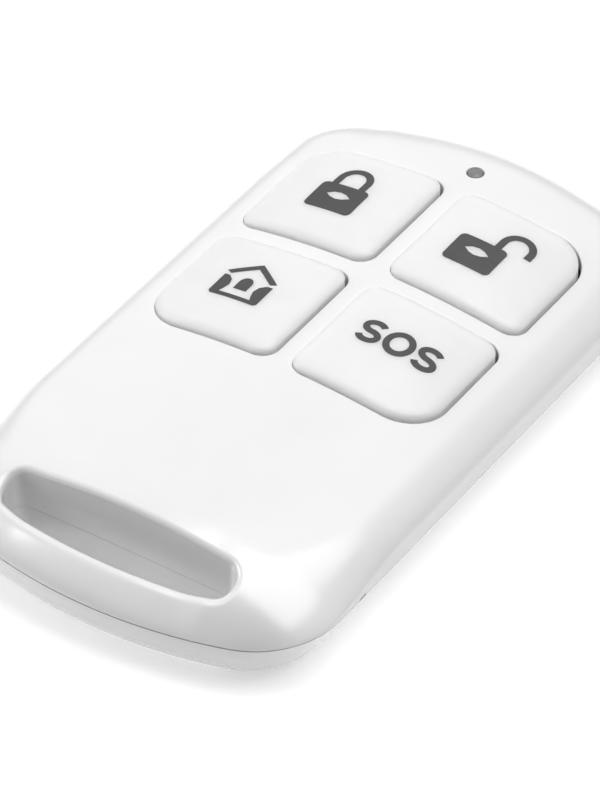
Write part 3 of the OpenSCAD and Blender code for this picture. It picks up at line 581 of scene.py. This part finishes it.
def front_case(material):
    """Upper half of the case, with its openings rounded at their edges."""
    outline = notched(case_loop(OUTLINE_STEP))
    slot = slot_loop(HOLE_STEP)
    guide = ring_loop(0, LED_Y, GUIDE_R + GUIDE_PLAY, TURN_STEPS)
    holes = [(key_loop(key, 0), KEY_FILLET) for key in KEYS]
    slot_edge = (GRIP_FILLET + BAR_FILLET - (BAR_FILLET - GRIP_FILLET) * slot.normals[:, 1]) / 2
    holes += [(guide, GUIDE_FILLET), (slot, slot_edge)]
    guards = [(loop, np.max(fillet) + GUARD) for loop, fillet in holes]

    plan = Plan()
    plan.add(outline.points, bound=True)
    full = np.minimum(RING_WIDTH * roll(*outline.normals.T), ROLL_LIMIT - GUARD)[:, None]
    shares = [(k / ROLL_RINGS) ** RING_POWER for k in range(1, ROLL_RINGS + 1)]
    rings = [outline.points - outline.normals * full * share for share in shares]
    rings += [outline.points - outline.normals * d
              for edge in (SEAM_DEPTH, NOTCH_D, WALL) for d in (edge - STEP, edge + STEP)]
    fill = grid(-HALF_W, HALF_W, -BODY_L / 2, BODY_L / 2, GRID_STEP)
    inset, nx, ny = edge_field(fill)
    rings.append(fill[inset > np.minimum(RING_WIDTH * roll(nx, ny), ROLL_LIMIT - GUARD) + GUARD])
    across = np.arange(-HALF_W + WALL, HALF_W - WALL, GRID_STEP / 2)
    rings += [np.c_[across, np.full(len(across), Y_INSIDE + d)] for d in (-STEP, STEP)]
    for points in rings:
        plan.add(clear_of(points, guards))
    for loop, fillet in holes:
        steps = (SEAM_DEPTH - STEP, SEAM_DEPTH + STEP) if loop is slot else ()
        plan.fillet(loop, fillet, steps)
        plan.add(loop.points + loop.normals * (np.max(fillet) + GUARD))
    for d in (-STEP, STEP):
        plan.add(ring_loop(0, LED_Y, PAD_R + d, TURN_STEPS).points)

    triangles = plan.triangles(outline, [loop for loop, _ in holes])
    top = np.maximum(upper_z(plan.xy) - plan.drop, Z_SEAM + seam_gap(edge_field(plan.xy)[2]))
    normals = rounded_normals(plan, facing(upper_z, plan.xy))
    near_slot = distance(plan.xy, slot_loop(FINE_STEP))
    bottom = np.where(in_notch(plan.xy), NOTCH_HIGH, upper_inside_z(plan.xy, near_slot))
    top = np.maximum(top, bottom)
    shape = Shape()
    field_solid(shape, plan, triangles, top, normals, bottom)
    for (loop, _), ids in zip(holes, plan.bounds[1:]):
        shape.strip(np.c_[loop.points, bottom[ids]], np.c_[loop.points, top[ids]],
                    np.c_[-loop.normals, np.zeros(len(ids))])
    for s in (-1, 1):
        z = ceiling_z(SCREW_X - BOSS_R) + STEP
        shape.turned(s * SCREW_X, SCREW_Y, [(SCREW_R, Z_BOARD_TOP), (BOSS_R, Z_BOARD_TOP), (BOSS_R, z),
                                            (SCREW_R, z), (SCREW_R, Z_BOARD_TOP)])
        z = ceiling_z(PEG_X - PEG_SHOULDER_R) + STEP
        shape.turned(s * PEG_X, PEG_Y, [(0, PEG_LOW), (PEG_R, PEG_LOW), (PEG_R, Z_BOARD_TOP),
                                        (PEG_SHOULDER_R, Z_BOARD_TOP), (PEG_SHOULDER_R, z), (0, z)])
    return shape.piece("front_case", material, "case", ["front_shell"])


def rear_case(material):
    """Lower half of the case, with its floor, lips, tray and rests."""
    outline = notched(case_loop(OUTLINE_STEP))
    slot = slot_loop(HOLE_STEP)
    guards = [(slot, SLOT_FILLET + GUARD)]
    plan = Plan()
    plan.add(outline.points, bound=True)
    side = SIDE_BELLY * outline.normals[:, :1] ** 2
    end = END_BELLY * outline.normals[:, 1:] ** 2
    rings = []
    for k in range(1, ROLL_RINGS + 1):
        s = math.sin(math.pi / 2 * k / ROLL_RINGS)
        reach = side * (1 - math.sqrt(1 - s)) + end * (1 - math.sqrt(1 - s * s))
        rings.append(outline.points - outline.normals * reach)
    rings += [outline.points - outline.normals * d
              for edge in (NOTCH_D, WALL) for d in (edge - STEP, edge + STEP)]
    fill = grid(-HALF_W, HALF_W, -BODY_L / 2, BODY_L / 2, GRID_STEP)
    inset, nx, ny = edge_field(fill)
    rings.append(fill[inset > SIDE_BELLY * nx ** 2 + END_BELLY * ny ** 2 + GUARD])
    across = np.arange(-HALF_W + WALL, HALF_W - WALL, GRID_STEP / 2)
    rings += [np.c_[across, np.full(len(across), Y_INSIDE + d)] for d in (-STEP, STEP)]
    for points in rings:
        plan.add(clear_of(points, guards))
    plan.fillet(slot, SLOT_FILLET)
    plan.add(slot.points + slot.normals * (SLOT_FILLET + GUARD))

    triangles = plan.triangles(outline, [slot])
    low, normals = lower_form(plan.xy)
    low = low + plan.drop
    normals = rounded_normals(plan, normals)
    notch = in_notch(plan.xy)
    low = np.where(notch, np.minimum(low, NOTCH_LOW), low)
    top = np.where(notch, NOTCH_LOW, np.maximum(lower_inside_z(plan.xy), low))
    shape = Shape()
    shape.add(np.c_[plan.xy, top], triangles)
    shape.add(np.c_[plan.xy, low], triangles[:, ::-1], normals)
    ids = plan.bounds[1]
    shape.strip(np.c_[slot.points, low[ids]], np.c_[slot.points, top[ids]],
                np.c_[-slot.normals, np.zeros(len(ids))])
    for s in (-1, 1):
        shape.block(sorted((s * LIP_X[0], s * LIP_X[1])), LIP_Y, LIP_Z)
        for y in SNAP_Y:
            shape.block(sorted((s * SNAP_X[0], s * SNAP_X[1])), (y - SNAP_L / 2, y + SNAP_L / 2), SNAP_Z)
        shape.turned(s * REST_X, REST_Y, [(0, FLOOR - STEP), (REST_R, FLOOR - STEP), (REST_R, REST_TOP),
                                          (0, REST_TOP)])
        tray_half(shape, s)
    return shape.piece("rear_case", material, "case", ["rear_shell"])


def tray_half(shape, side):
    """Half of the rib round the cell, open where its clip passes."""
    opening = math.asin(TRAY_OPEN / TRAY_OUT)
    a = side * np.linspace(opening, math.pi - opening, TURN_STEPS)
    spokes = np.c_[np.cos(a), np.sin(a)]
    foot = FLOOR - STEP
    corners = [(TRAY_IN, foot), (TRAY_OUT, foot), (TRAY_OUT, TRAY_TOP), (TRAY_IN, TRAY_TOP)]
    rails = [np.c_[[0, CELL_Y] + spokes * r, np.full(TURN_STEPS, z)] for r, z in corners]
    i = np.arange(TURN_STEPS - 1)
    n = TURN_STEPS
    faces = np.c_[i, i + 1, n + i + 1, n + i]
    for rail, following in zip(rails, rails[1:] + rails[:1]):
        shape.add(np.vstack([rail, following]), faces[:, ::-side])
    for k in (0, -1):
        ends = np.array([rail[k] for rail in rails])
        shape.add(ends, [(0, 1, 2, 3) if (k == 0) == (side > 0) else (3, 2, 1, 0)])


def key_cap(key, material):
    """One key: a hollow cap with a soft edge, a post for its switch and two tabs."""
    centred = key_loop(key, KEY_GAP)
    outline = Loop(centred.points + KEY_SHIFT, centred.normals)
    cx, cy = key_middle(key)
    plan = Plan()
    plan.fillet(outline, KEY_EDGE_W, out=-1, rings=KEY_RINGS, height=KEY_EDGE_H)
    rings = [outline.points - outline.normals * (KEY_WALL - KEY_GAP + d) for d in (-STEP, STEP)]
    rings += [ring_loop(cx, cy, POST_R + d, TURN_STEPS).points for d in (-STEP, STEP)]
    fill = grid(outline.points[:, 0].min(), outline.points[:, 0].max(),
                outline.points[:, 1].min(), outline.points[:, 1].max(), KEY_GRID)
    fill = fill[inside(fill, outline)]
    rings.append(fill[distance(fill, outline) > KEY_EDGE_W + GUARD])
    for points in rings:
        plan.add(points)
    triangles = plan.triangles(outline, [])
    top = key_z(key, plan.xy) - plan.drop
    normals = rounded_normals(plan, facing(lambda p: key_z(key, p), plan.xy))
    bottom = np.where(distance(plan.xy, outline) < KEY_WALL - KEY_GAP, Z_TAB, Z_KEY_UNDER)
    bottom = np.where(np.hypot(plan.xy[:, 0] - cx, plan.xy[:, 1] - cy) < POST_R, Z_PLUNGER, bottom)
    shape = Shape()
    field_solid(shape, plan, triangles, top, normals, bottom)
    shape.strip(np.c_[outline.points, top[plan.bounds[0]]], np.c_[outline.points, bottom[plan.bounds[0]]],
                np.c_[outline.normals, np.zeros(len(outline.points))])
    for end in (-1, 1):
        edge = cy + end * KEY_H / 2
        shape.block((cx - TAB_W / 2, cx + TAB_W / 2), sorted((edge + end * TAB_L, edge - end * KEY_WALL)),
                    (Z_TAB, Z_TAB + TAB_T))
    return shape.piece(key + "_cap", material, key + "_button", [key + "_key"])


# Printed signs on the keys

INK_UP, INK_DOWN = 0.018, 0.03
INK_STEP, INK_GRID = 0.12, 0.35
# Letters: half widths and heights, the ends of the curves in degrees, and the width of the stroke
S_BOWL, S_TOP, S_FOOT, S_STROKE = (0.7, 0.5), (28, 270), (90, -165), 0.5
O_OUTER, O_INNER = (1.16, 1.26), (0.66, 0.74)
CURVE_STEPS, O_STEPS, DOOR_STEPS = 24, (49, 41), 13
# Padlock: body, keyhole and shackle
LOCK_HALF, LOCK_H, LOCK_R = 1.92, 3.03, 0.42
KEYHOLE, KEYHOLE_SHOULDER, KEYHOLE_UP = (0.98, 0.42), (0.5, 0.31), 1.75
BOW_R, BOW_RISE, BOW_W, BOW_UP, BOW_OPEN = 1.1, 1.15, 0.56, 0.85, 0.3
# House
ROOF_LINE = [(-2.1, 2.75), (-0.05, 4.3), (2.05, 2.75), (1.6, 2.5), (-0.05, 3.72), (-1.65, 2.5)]
WALL_LINE = [(-2.0, 2.3), (-2.0, 0.2), (-1.8, 0.0), (1.8, 0.0), (2.0, 0.2), (2.0, 2.3), (1.55, 2.25),
             (1.15, 1.85), (1.0, 1.3), (1.15, 0.75), (1.3, 0.38), (-1.3, 0.38), (-1.15, 0.75),
             (-1.0, 1.3), (-1.15, 1.85), (-1.55, 2.25)]
DOOR_HALF, DOOR_LOW, DOOR_SPRING, DOOR_RISE = 0.52, 1.05, 1.85, 0.62
# Places of the signs on the case
LOCK_AT, LOCK_BOW_AT = (-6.33, 11.5), (-6.29, 14.5)
UNLOCK_AT, UNLOCK_BOW_AT = (5.29, 11.5), (7.36, 14.5)
HOUSE_AT = (-6.26, -0.43)
LETTERS_AT = ((4.0, 1.8), (6.25, 1.8), (8.52, 1.82))


def stroke(path, width):
    """Outline of a line of even width."""
    p = np.array(path, float)
    run = unit(np.gradient(p, axis=0))
    side = np.c_[-run[:, 1], run[:, 0]] * width / 2
    return np.vstack([p + side, (p - side)[::-1]])


def curve(cx, cy, rx, ry, a0, a1, count=CURVE_STEPS):
    """Points along a part of an ellipse."""
    a = np.radians(np.linspace(a0, a1, count))
    return np.c_[cx + rx * np.cos(a), cy + ry * np.sin(a)]


def letter_s(cx, cy):
    """An upright S."""
    upper = curve(cx, cy + S_BOWL[1], *S_BOWL, *S_TOP)
    lower = curve(cx, cy - S_BOWL[1], *S_BOWL, *S_FOOT)
    return stroke(np.vstack([upper, lower[1:]]), S_STROKE), []


def letter_o(cx, cy):
    """An upright O."""
    outer, inner = [curve(cx, cy, *size, 0, 360, steps)[:-1]
                    for size, steps in zip((O_OUTER, O_INNER), O_STEPS)]
    return outer, [inner]


def padlock_body(cx, y0):
    """Body of a padlock with a lens-shaped keyhole."""
    body = rounded_loop(cx - LOCK_HALF, cx + LOCK_HALF, y0, y0 + LOCK_H, [LOCK_R] * 4, INK_STEP).points
    (tip, rise), (x, y) = KEYHOLE, KEYHOLE_SHOULDER
    lens = [(-tip, 0), (-x, y), (0, rise), (x, y), (tip, 0), (x, -y), (0, -rise), (-x, -y)]
    return body, [np.array(lens) + [cx, y0 + KEYHOLE_UP]]


def shackle(cx, foot, left, right):
    """Shackle of a padlock, with its feet at heights left and right above its body."""
    bow = curve(cx, foot + BOW_UP, BOW_R, BOW_RISE, 180, 0)
    line = np.vstack([[(cx - BOW_R, foot + left)], bow, [(cx + BOW_R, foot + right)]])
    return stroke(line, BOW_W), []


def house(cx, y0):
    """A house: roof, walls and door."""
    sill = [(-DOOR_HALF, DOOR_LOW), (DOOR_HALF, DOOR_LOW)]
    door = np.vstack([sill, curve(0, DOOR_SPRING, DOOR_HALF, DOOR_RISE, 0, 180, DOOR_STEPS)])
    return [(np.array(part) + [cx, y0], []) for part in (ROOF_LINE, WALL_LINE, door)]


def sign(key, parts, material):
    """Ink of one sign, lying on its key."""
    shape = Shape()
    for outer, holes in parts:
        edge = polygon_loop(outer, INK_STEP)
        cuts = [polygon_loop(hole, INK_STEP) for hole in holes]
        plan = Plan()
        for loop in [edge] + cuts:
            plan.add(loop.points, bound=True)
        low, high = edge.points.min(axis=0), edge.points.max(axis=0)
        fill = grid(low[0], high[0], low[1], high[1], INK_GRID)
        fill = fill[inside(fill, edge)]
        fill = fill[distance(fill, edge) > INK_STEP]
        plan.add(clear_of(fill, [(cut, INK_STEP) for cut in cuts]))
        triangles = plan.triangles(edge, cuts)
        base = key_z(key, plan.xy)
        normals = facing(lambda p: key_z(key, p), plan.xy)
        field_solid(shape, plan, triangles, base + INK_UP, normals, base - INK_DOWN)
        for loop, ids in zip([edge] + cuts, plan.bounds):
            upper = np.c_[loop.points, base[ids] + INK_UP]
            lower = np.c_[loop.points, base[ids] - INK_DOWN]
            shape.strip(*((upper, lower) if loop is edge else (lower, upper)))
    return shape.piece(key + "_sign", material, key + "_button")


# Materials

# Depth that light goes into the keys, and height of the grain
SOFT_DEPTH, RELIEF = 1.2 * MM, 0.01 * MM
# Detail of the fine and the broad grain, how much larger the broad one is, and where its two colours lie
FINE_DETAIL, BROAD_DETAIL, BROAD_SIZE = 4, 3, 30
DARK_AT, PALE_AT = 0.3, 0.7
POLISH = {"coat": 1.0, "ior": 1.65, "coat_rough": 0.18}


def grey(level):
    return level, level, level


def grained(name, dark, pale, rough, grain, bump, metallic=0.0, stretch=(1, 1, 1), coat=0.0, ior=1.5,
            coat_rough=0.08, soft=0.0):
    """Surface whose colour, gloss and relief vary with a fine grain, of so many to the millimetre."""
    made = bpy.data.materials.new(name)
    made.use_nodes = True
    nodes = made.node_tree.nodes
    link = made.node_tree.links.new
    shader = nodes["Principled BSDF"]
    shader.inputs["Metallic"].default_value = metallic
    shader.inputs["Coat Weight"].default_value = coat
    shader.inputs["Coat Roughness"].default_value = coat_rough
    shader.inputs["IOR"].default_value = ior
    shader.inputs["Subsurface Weight"].default_value = soft
    shader.inputs["Subsurface Radius"].default_value = (1, 1, 1)
    shader.inputs["Subsurface Scale"].default_value = SOFT_DEPTH
    place = nodes.new("ShaderNodeTexCoord")
    spread = nodes.new("ShaderNodeMapping")
    spread.inputs["Scale"].default_value = stretch
    link(place.outputs["Object"], spread.inputs["Vector"])
    fine = nodes.new("ShaderNodeTexNoise")
    fine.inputs["Scale"].default_value = grain / MM
    fine.inputs["Detail"].default_value = FINE_DETAIL
    broad = nodes.new("ShaderNodeTexNoise")
    broad.inputs["Scale"].default_value = grain / MM / BROAD_SIZE
    broad.inputs["Detail"].default_value = BROAD_DETAIL
    for texture in (fine, broad):
        link(spread.outputs["Vector"], texture.inputs["Vector"])
    tint = nodes.new("ShaderNodeValToRGB")
    tint.color_ramp.elements[0].color = (*dark, 1)
    tint.color_ramp.elements[1].color = (*pale, 1)
    tint.color_ramp.elements[0].position = DARK_AT
    tint.color_ramp.elements[1].position = PALE_AT
    link(broad.outputs["Fac"], tint.inputs["Fac"])
    link(tint.outputs["Color"], shader.inputs["Base Color"])
    gloss = nodes.new("ShaderNodeMapRange")
    gloss.inputs["To Min"].default_value = rough[0]
    gloss.inputs["To Max"].default_value = rough[1]
    link(fine.outputs["Fac"], gloss.inputs["Value"])
    link(gloss.outputs["Result"], shader.inputs["Roughness"])
    relief = nodes.new("ShaderNodeBump")
    relief.inputs["Strength"].default_value = bump
    relief.inputs["Distance"].default_value = RELIEF
    link(fine.outputs["Fac"], relief.inputs["Height"])
    link(relief.outputs["Normal"], shader.inputs["Normal"])
    return made


def metal(name, dark, pale, rough, grain, bump, drawn=(1, 1, 1)):
    """Metal, with its grain drawn out along one direction."""
    return grained(name, dark, pale, rough, grain, bump, metallic=1.0, stretch=drawn)


WHITE = grained("white_gloss", grey(0.865), grey(0.885), (0.25, 0.28), 6, 0.01, **POLISH)
REAR_WHITE = grained("white_gloss_rear", grey(0.855), grey(0.875), (0.25, 0.28), 6, 0.012, **POLISH)
KEY_WHITE = grained("white_satin", grey(0.915), grey(0.935), (0.34, 0.4), 14, 0.02, ior=1.6, soft=0.7)
INK = grained("ink", (0.042, 0.042, 0.043), (0.054, 0.054, 0.056), (0.5, 0.65), 20, 0.15)
GUIDE = grained("guide", (0.15, 0.15, 0.155), (0.2, 0.2, 0.205), (0.12, 0.22), 5, 0.05)
SLOT_LOOKS = {
    "board_green": grained("board", (0.03, 0.17, 0.07), (0.05, 0.25, 0.1), (0.3, 0.45), 8, 0.2, coat=0.3),
    "switch_black": grained("switch", (0.02, 0.02, 0.022), (0.05, 0.05, 0.055), (0.45, 0.6), 12, 0.2),
    "tin_sheet": metal("tin", (0.62, 0.62, 0.6), (0.74, 0.74, 0.72), (0.25, 0.42), 10, 0.15, (1, 8, 1)),
    "plunger_ivory": grained("plunger", (0.74, 0.7, 0.6), (0.8, 0.77, 0.68), (0.4, 0.52), 10, 0.12),
    "spring_bronze": metal("bronze", (0.62, 0.42, 0.2), (0.75, 0.53, 0.28), (0.22, 0.36), 9, 0.15),
    "led_resin": grained("led", (0.8, 0.78, 0.66), (0.86, 0.85, 0.76), (0.15, 0.3), 6, 0.08, coat=0.4),
    "chip_black": grained("chip", (0.02, 0.02, 0.024), (0.045, 0.045, 0.05), (0.5, 0.68), 15, 0.3),
    "can_metal": metal("can", (0.66, 0.65, 0.6), (0.78, 0.77, 0.73), (0.22, 0.38), 10, 0.12, (6, 1, 1)),
    "resistor_body": grained("resistor", (0.05, 0.05, 0.06), (0.1, 0.1, 0.11), (0.3, 0.45), 12, 0.2),
    "capacitor_body": grained("capacitor", (0.46, 0.35, 0.23), (0.58, 0.45, 0.31), (0.4, 0.55), 12, 0.25),
    "copper_wire": metal("copper", (0.6, 0.28, 0.15), (0.76, 0.42, 0.26), (0.2, 0.35), 9, 0.12, (4, 4, 1)),
    "cell_steel": metal("cell", (0.62, 0.62, 0.61), (0.72, 0.72, 0.72), (0.22, 0.38), 8, 0.12, (5, 1, 1)),
    "contact_nickel": metal("nickel", (0.6, 0.6, 0.57), (0.71, 0.71, 0.69), (0.2, 0.36), 9, 0.12, (1, 6, 1)),
    "screw_steel": metal("screw", grey(0.5), grey(0.64), (0.28, 0.45), 12, 0.2),
}
for row in frame["record"]["subparts"]:
    look = SLOT_LOOKS.get(row["material_slot"])
    if look:
        node = frame["nodes"][row["node"]]
        node.data.materials.clear()
        node.data.materials.append(look)


# The object

front_case(WHITE)
rear_case(REAR_WHITE)
for key in KEYS:
    key_cap(key, KEY_WHITE)
sign("lock", [padlock_body(*LOCK_AT), shackle(*LOCK_BOW_AT, 0, 0)], INK)
sign("unlock", [padlock_body(*UNLOCK_AT), shackle(*UNLOCK_BOW_AT, 0, BOW_OPEN)], INK)
sign("home", house(*HOUSE_AT), INK)
letters = (letter_s, letter_o, letter_s)
sign("sos", [letter(*at) for letter, at in zip(letters, LETTERS_AT)], INK)

guide_shape = Shape()
rim = Z_TOP - GUIDE_SINK
quarter = np.linspace(0, math.pi / 2, DOME_STEPS)
tip = [(GUIDE_R * math.cos(a), rim + GUIDE_DOME * math.sin(a)) for a in quarter]
guide_shape.turned(0, LED_Y, [(0, Z_PAD - COLLAR_T), (COLLAR_R, Z_PAD - COLLAR_T), (COLLAR_R, Z_PAD),
                              (GUIDE_R, Z_PAD)] + tip)
guide_shape.piece("light_tip", GUIDE, "case", ["light_guide"])

bronze = SLOT_LOOKS["spring_bronze"]
for key in KEYS:
    dome = Shape()
    outer = [(DOME_R * math.cos(a), DOME_H * math.sin(a)) for a in quarter]
    inner = [(max(r - DOME_T, 0), max(h - DOME_T, 0)) for r, h in outer[::-1]]
    profile = [(r, Z_POCKET + h) for r, h in outer + inner + outer[:1]]
    dome.turned(*key_middle(key), profile)
    disc = dome.piece(key + "_snap_dome", bronze, "case", [key + "_dome"])
    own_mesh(disc)


# Stage, light and camera

FLOOR_HALF, FLOOR_DROP = 2.0, 2e-5
FLOOR_WHITE, FLOOR_GLOW = 0.86, 0.48
floor_mesh = bpy.data.meshes.new("floor")
corners = [(x * FLOOR_HALF, y * FLOOR_HALF, -FLOOR_DROP) for x, y in ((-1, -1), (1, -1), (1, 1), (-1, 1))]
floor_mesh.from_pydata(corners, [], [(0, 1, 2, 3)])
floor = bpy.data.objects.new("floor", floor_mesh)
bpy.context.scene.collection.objects.link(floor)
floor_look = bpy.data.materials.new("floor")
floor_look.use_nodes = True
nodes = floor_look.node_tree.nodes
link = floor_look.node_tree.links.new
nodes.clear()
matt = nodes.new("ShaderNodeBsdfDiffuse")
matt.inputs["Color"].default_value = (*grey(FLOOR_WHITE), 1)
glow = nodes.new("ShaderNodeEmission")
path = nodes.new("ShaderNodeLightPath")
seen = nodes.new("ShaderNodeMath")
seen.operation = "MULTIPLY"
seen.inputs[1].default_value = FLOOR_GLOW
either = nodes.new("ShaderNodeMath")
either.operation = "MAXIMUM"
link(path.outputs["Is Camera Ray"], either.inputs[0])
link(path.outputs["Is Glossy Ray"], either.inputs[1])
link(either.outputs[0], seen.inputs[0])
link(seen.outputs[0], glow.inputs["Strength"])
both = nodes.new("ShaderNodeAddShader")
out = nodes.new("ShaderNodeOutputMaterial")
link(matt.outputs[0], both.inputs[0])
link(glow.outputs[0], both.inputs[1])
link(both.outputs[0], out.inputs["Surface"])
floor_mesh.materials.append(floor_look)

# Soft surroundings, white where they are seen, with a dark stand beside the slot end
STAND_AT = (0.42, -0.63, 0.65)
STAND_EDGE, STAND_CORE, STAND_DARK = 0.74, 0.96, 0.02
ROOM_LIGHT = 0.22
HORIZON_SHINE, ZENITH_SHINE, ZENITH_FROM = 0.25, 1.0, 0.5
world = bpy.data.worlds.new("studio")
bpy.context.scene.world = world
world.use_nodes = True
nodes = world.node_tree.nodes
link = world.node_tree.links.new
ambient = nodes["Background"]
ambient.inputs["Color"].default_value = (1, 1, 1, 1)
place = nodes.new("ShaderNodeTexCoord")
toward = nodes.new("ShaderNodeVectorMath")
toward.operation = "DOT_PRODUCT"
toward.inputs[1].default_value = STAND_AT
link(place.outputs["Generated"], toward.inputs[0])
clear = nodes.new("ShaderNodeMapRange")
clear.interpolation_type = "SMOOTHSTEP"
clear.inputs["From Min"].default_value = STAND_EDGE
clear.inputs["From Max"].default_value = STAND_CORE
clear.inputs["To Min"].default_value = 1.0
clear.inputs["To Max"].default_value = STAND_DARK
link(toward.outputs["Value"], clear.inputs["Value"])
path = nodes.new("ShaderNodeLightPath")
shine = nodes.new("ShaderNodeMapRange")
shine.inputs["To Min"].default_value = ROOM_LIGHT
rise = nodes.new("ShaderNodeSeparateXYZ")
link(place.outputs["Generated"], rise.inputs[0])
sky = nodes.new("ShaderNodeMapRange")
sky.interpolation_type = "SMOOTHSTEP"
sky.inputs["From Max"].default_value = ZENITH_FROM
sky.inputs["To Min"].default_value = HORIZON_SHINE
sky.inputs["To Max"].default_value = ZENITH_SHINE
link(rise.outputs["Z"], sky.inputs["Value"])
link(sky.outputs["Result"], shine.inputs["To Max"])
link(path.outputs["Is Glossy Ray"], shine.inputs["Value"])
room = nodes.new("ShaderNodeMath")
room.operation = "MULTIPLY"
link(clear.outputs["Result"], room.inputs[0])
link(shine.outputs["Result"], room.inputs[1])
shown = nodes.new("ShaderNodeMath")
shown.operation = "MAXIMUM"
link(path.outputs["Is Camera Ray"], shown.inputs[0])
link(path.outputs["Is Transmission Ray"], shown.inputs[1])
level = nodes.new("ShaderNodeMath")
level.operation = "MAXIMUM"
link(shown.outputs[0], level.inputs[0])
link(room.outputs[0], level.inputs[1])
link(level.outputs[0], ambient.inputs["Strength"])


def softbox(name, place, aim, width, height, power):
    """Rectangular lamp at a place, turned to a point."""
    lamp = bpy.data.lights.new(name, "AREA")
    lamp.shape = "RECTANGLE"
    lamp.size = width
    lamp.size_y = height
    lamp.energy = power
    made = bpy.data.objects.new(name, lamp)
    made.location = place
    made.rotation_euler = (Vector(aim) - Vector(place)).to_track_quat("-Z", "Y").to_euler()
    bpy.context.scene.collection.objects.link(made)


softbox("overhead", place=(0.26, 0.2, 0.8), aim=(0.26, 0.2, 0), width=1.0, height=0.7, power=6.2)
softbox("back_left", place=(-0.36, 0.52, 0.54), aim=(0, 0, 0), width=1.0, height=0.8, power=0.8)
softbox("left", place=(-0.76, -0.26, 0.38), aim=(0, 0, 0), width=0.5, height=0.4, power=2.5)

# Camera: its angles round and above the object, its distance, and its lens
CAM_AZ, CAM_EL, CAM_FAR = 0.58742, 0.70441, 0.38175
SENSOR_W, LENS, CLIP_NEAR, CLIP_FAR = 36, 248.13, 0.01, 20
CAM_AIM = Vector((0.756, -2.278, Z_SEAM)) * MM
cam = bpy.data.cameras.new("camera")
cam.sensor_width = SENSOR_W
cam.lens = LENS
cam.clip_start = CLIP_NEAR
cam.clip_end = CLIP_FAR
camera = bpy.data.objects.new("camera", cam)
bpy.context.scene.collection.objects.link(camera)
flat = math.cos(CAM_EL)
back = Vector((math.sin(CAM_AZ) * flat, -math.cos(CAM_AZ) * flat, math.sin(CAM_EL)))
camera.location = CAM_AIM + back * CAM_FAR
camera.rotation_euler = (-back).to_track_quat("-Z", "Y").to_euler()
bpy.context.scene.camera = camera
bpy.context.scene.view_settings.view_transform = "Standard"
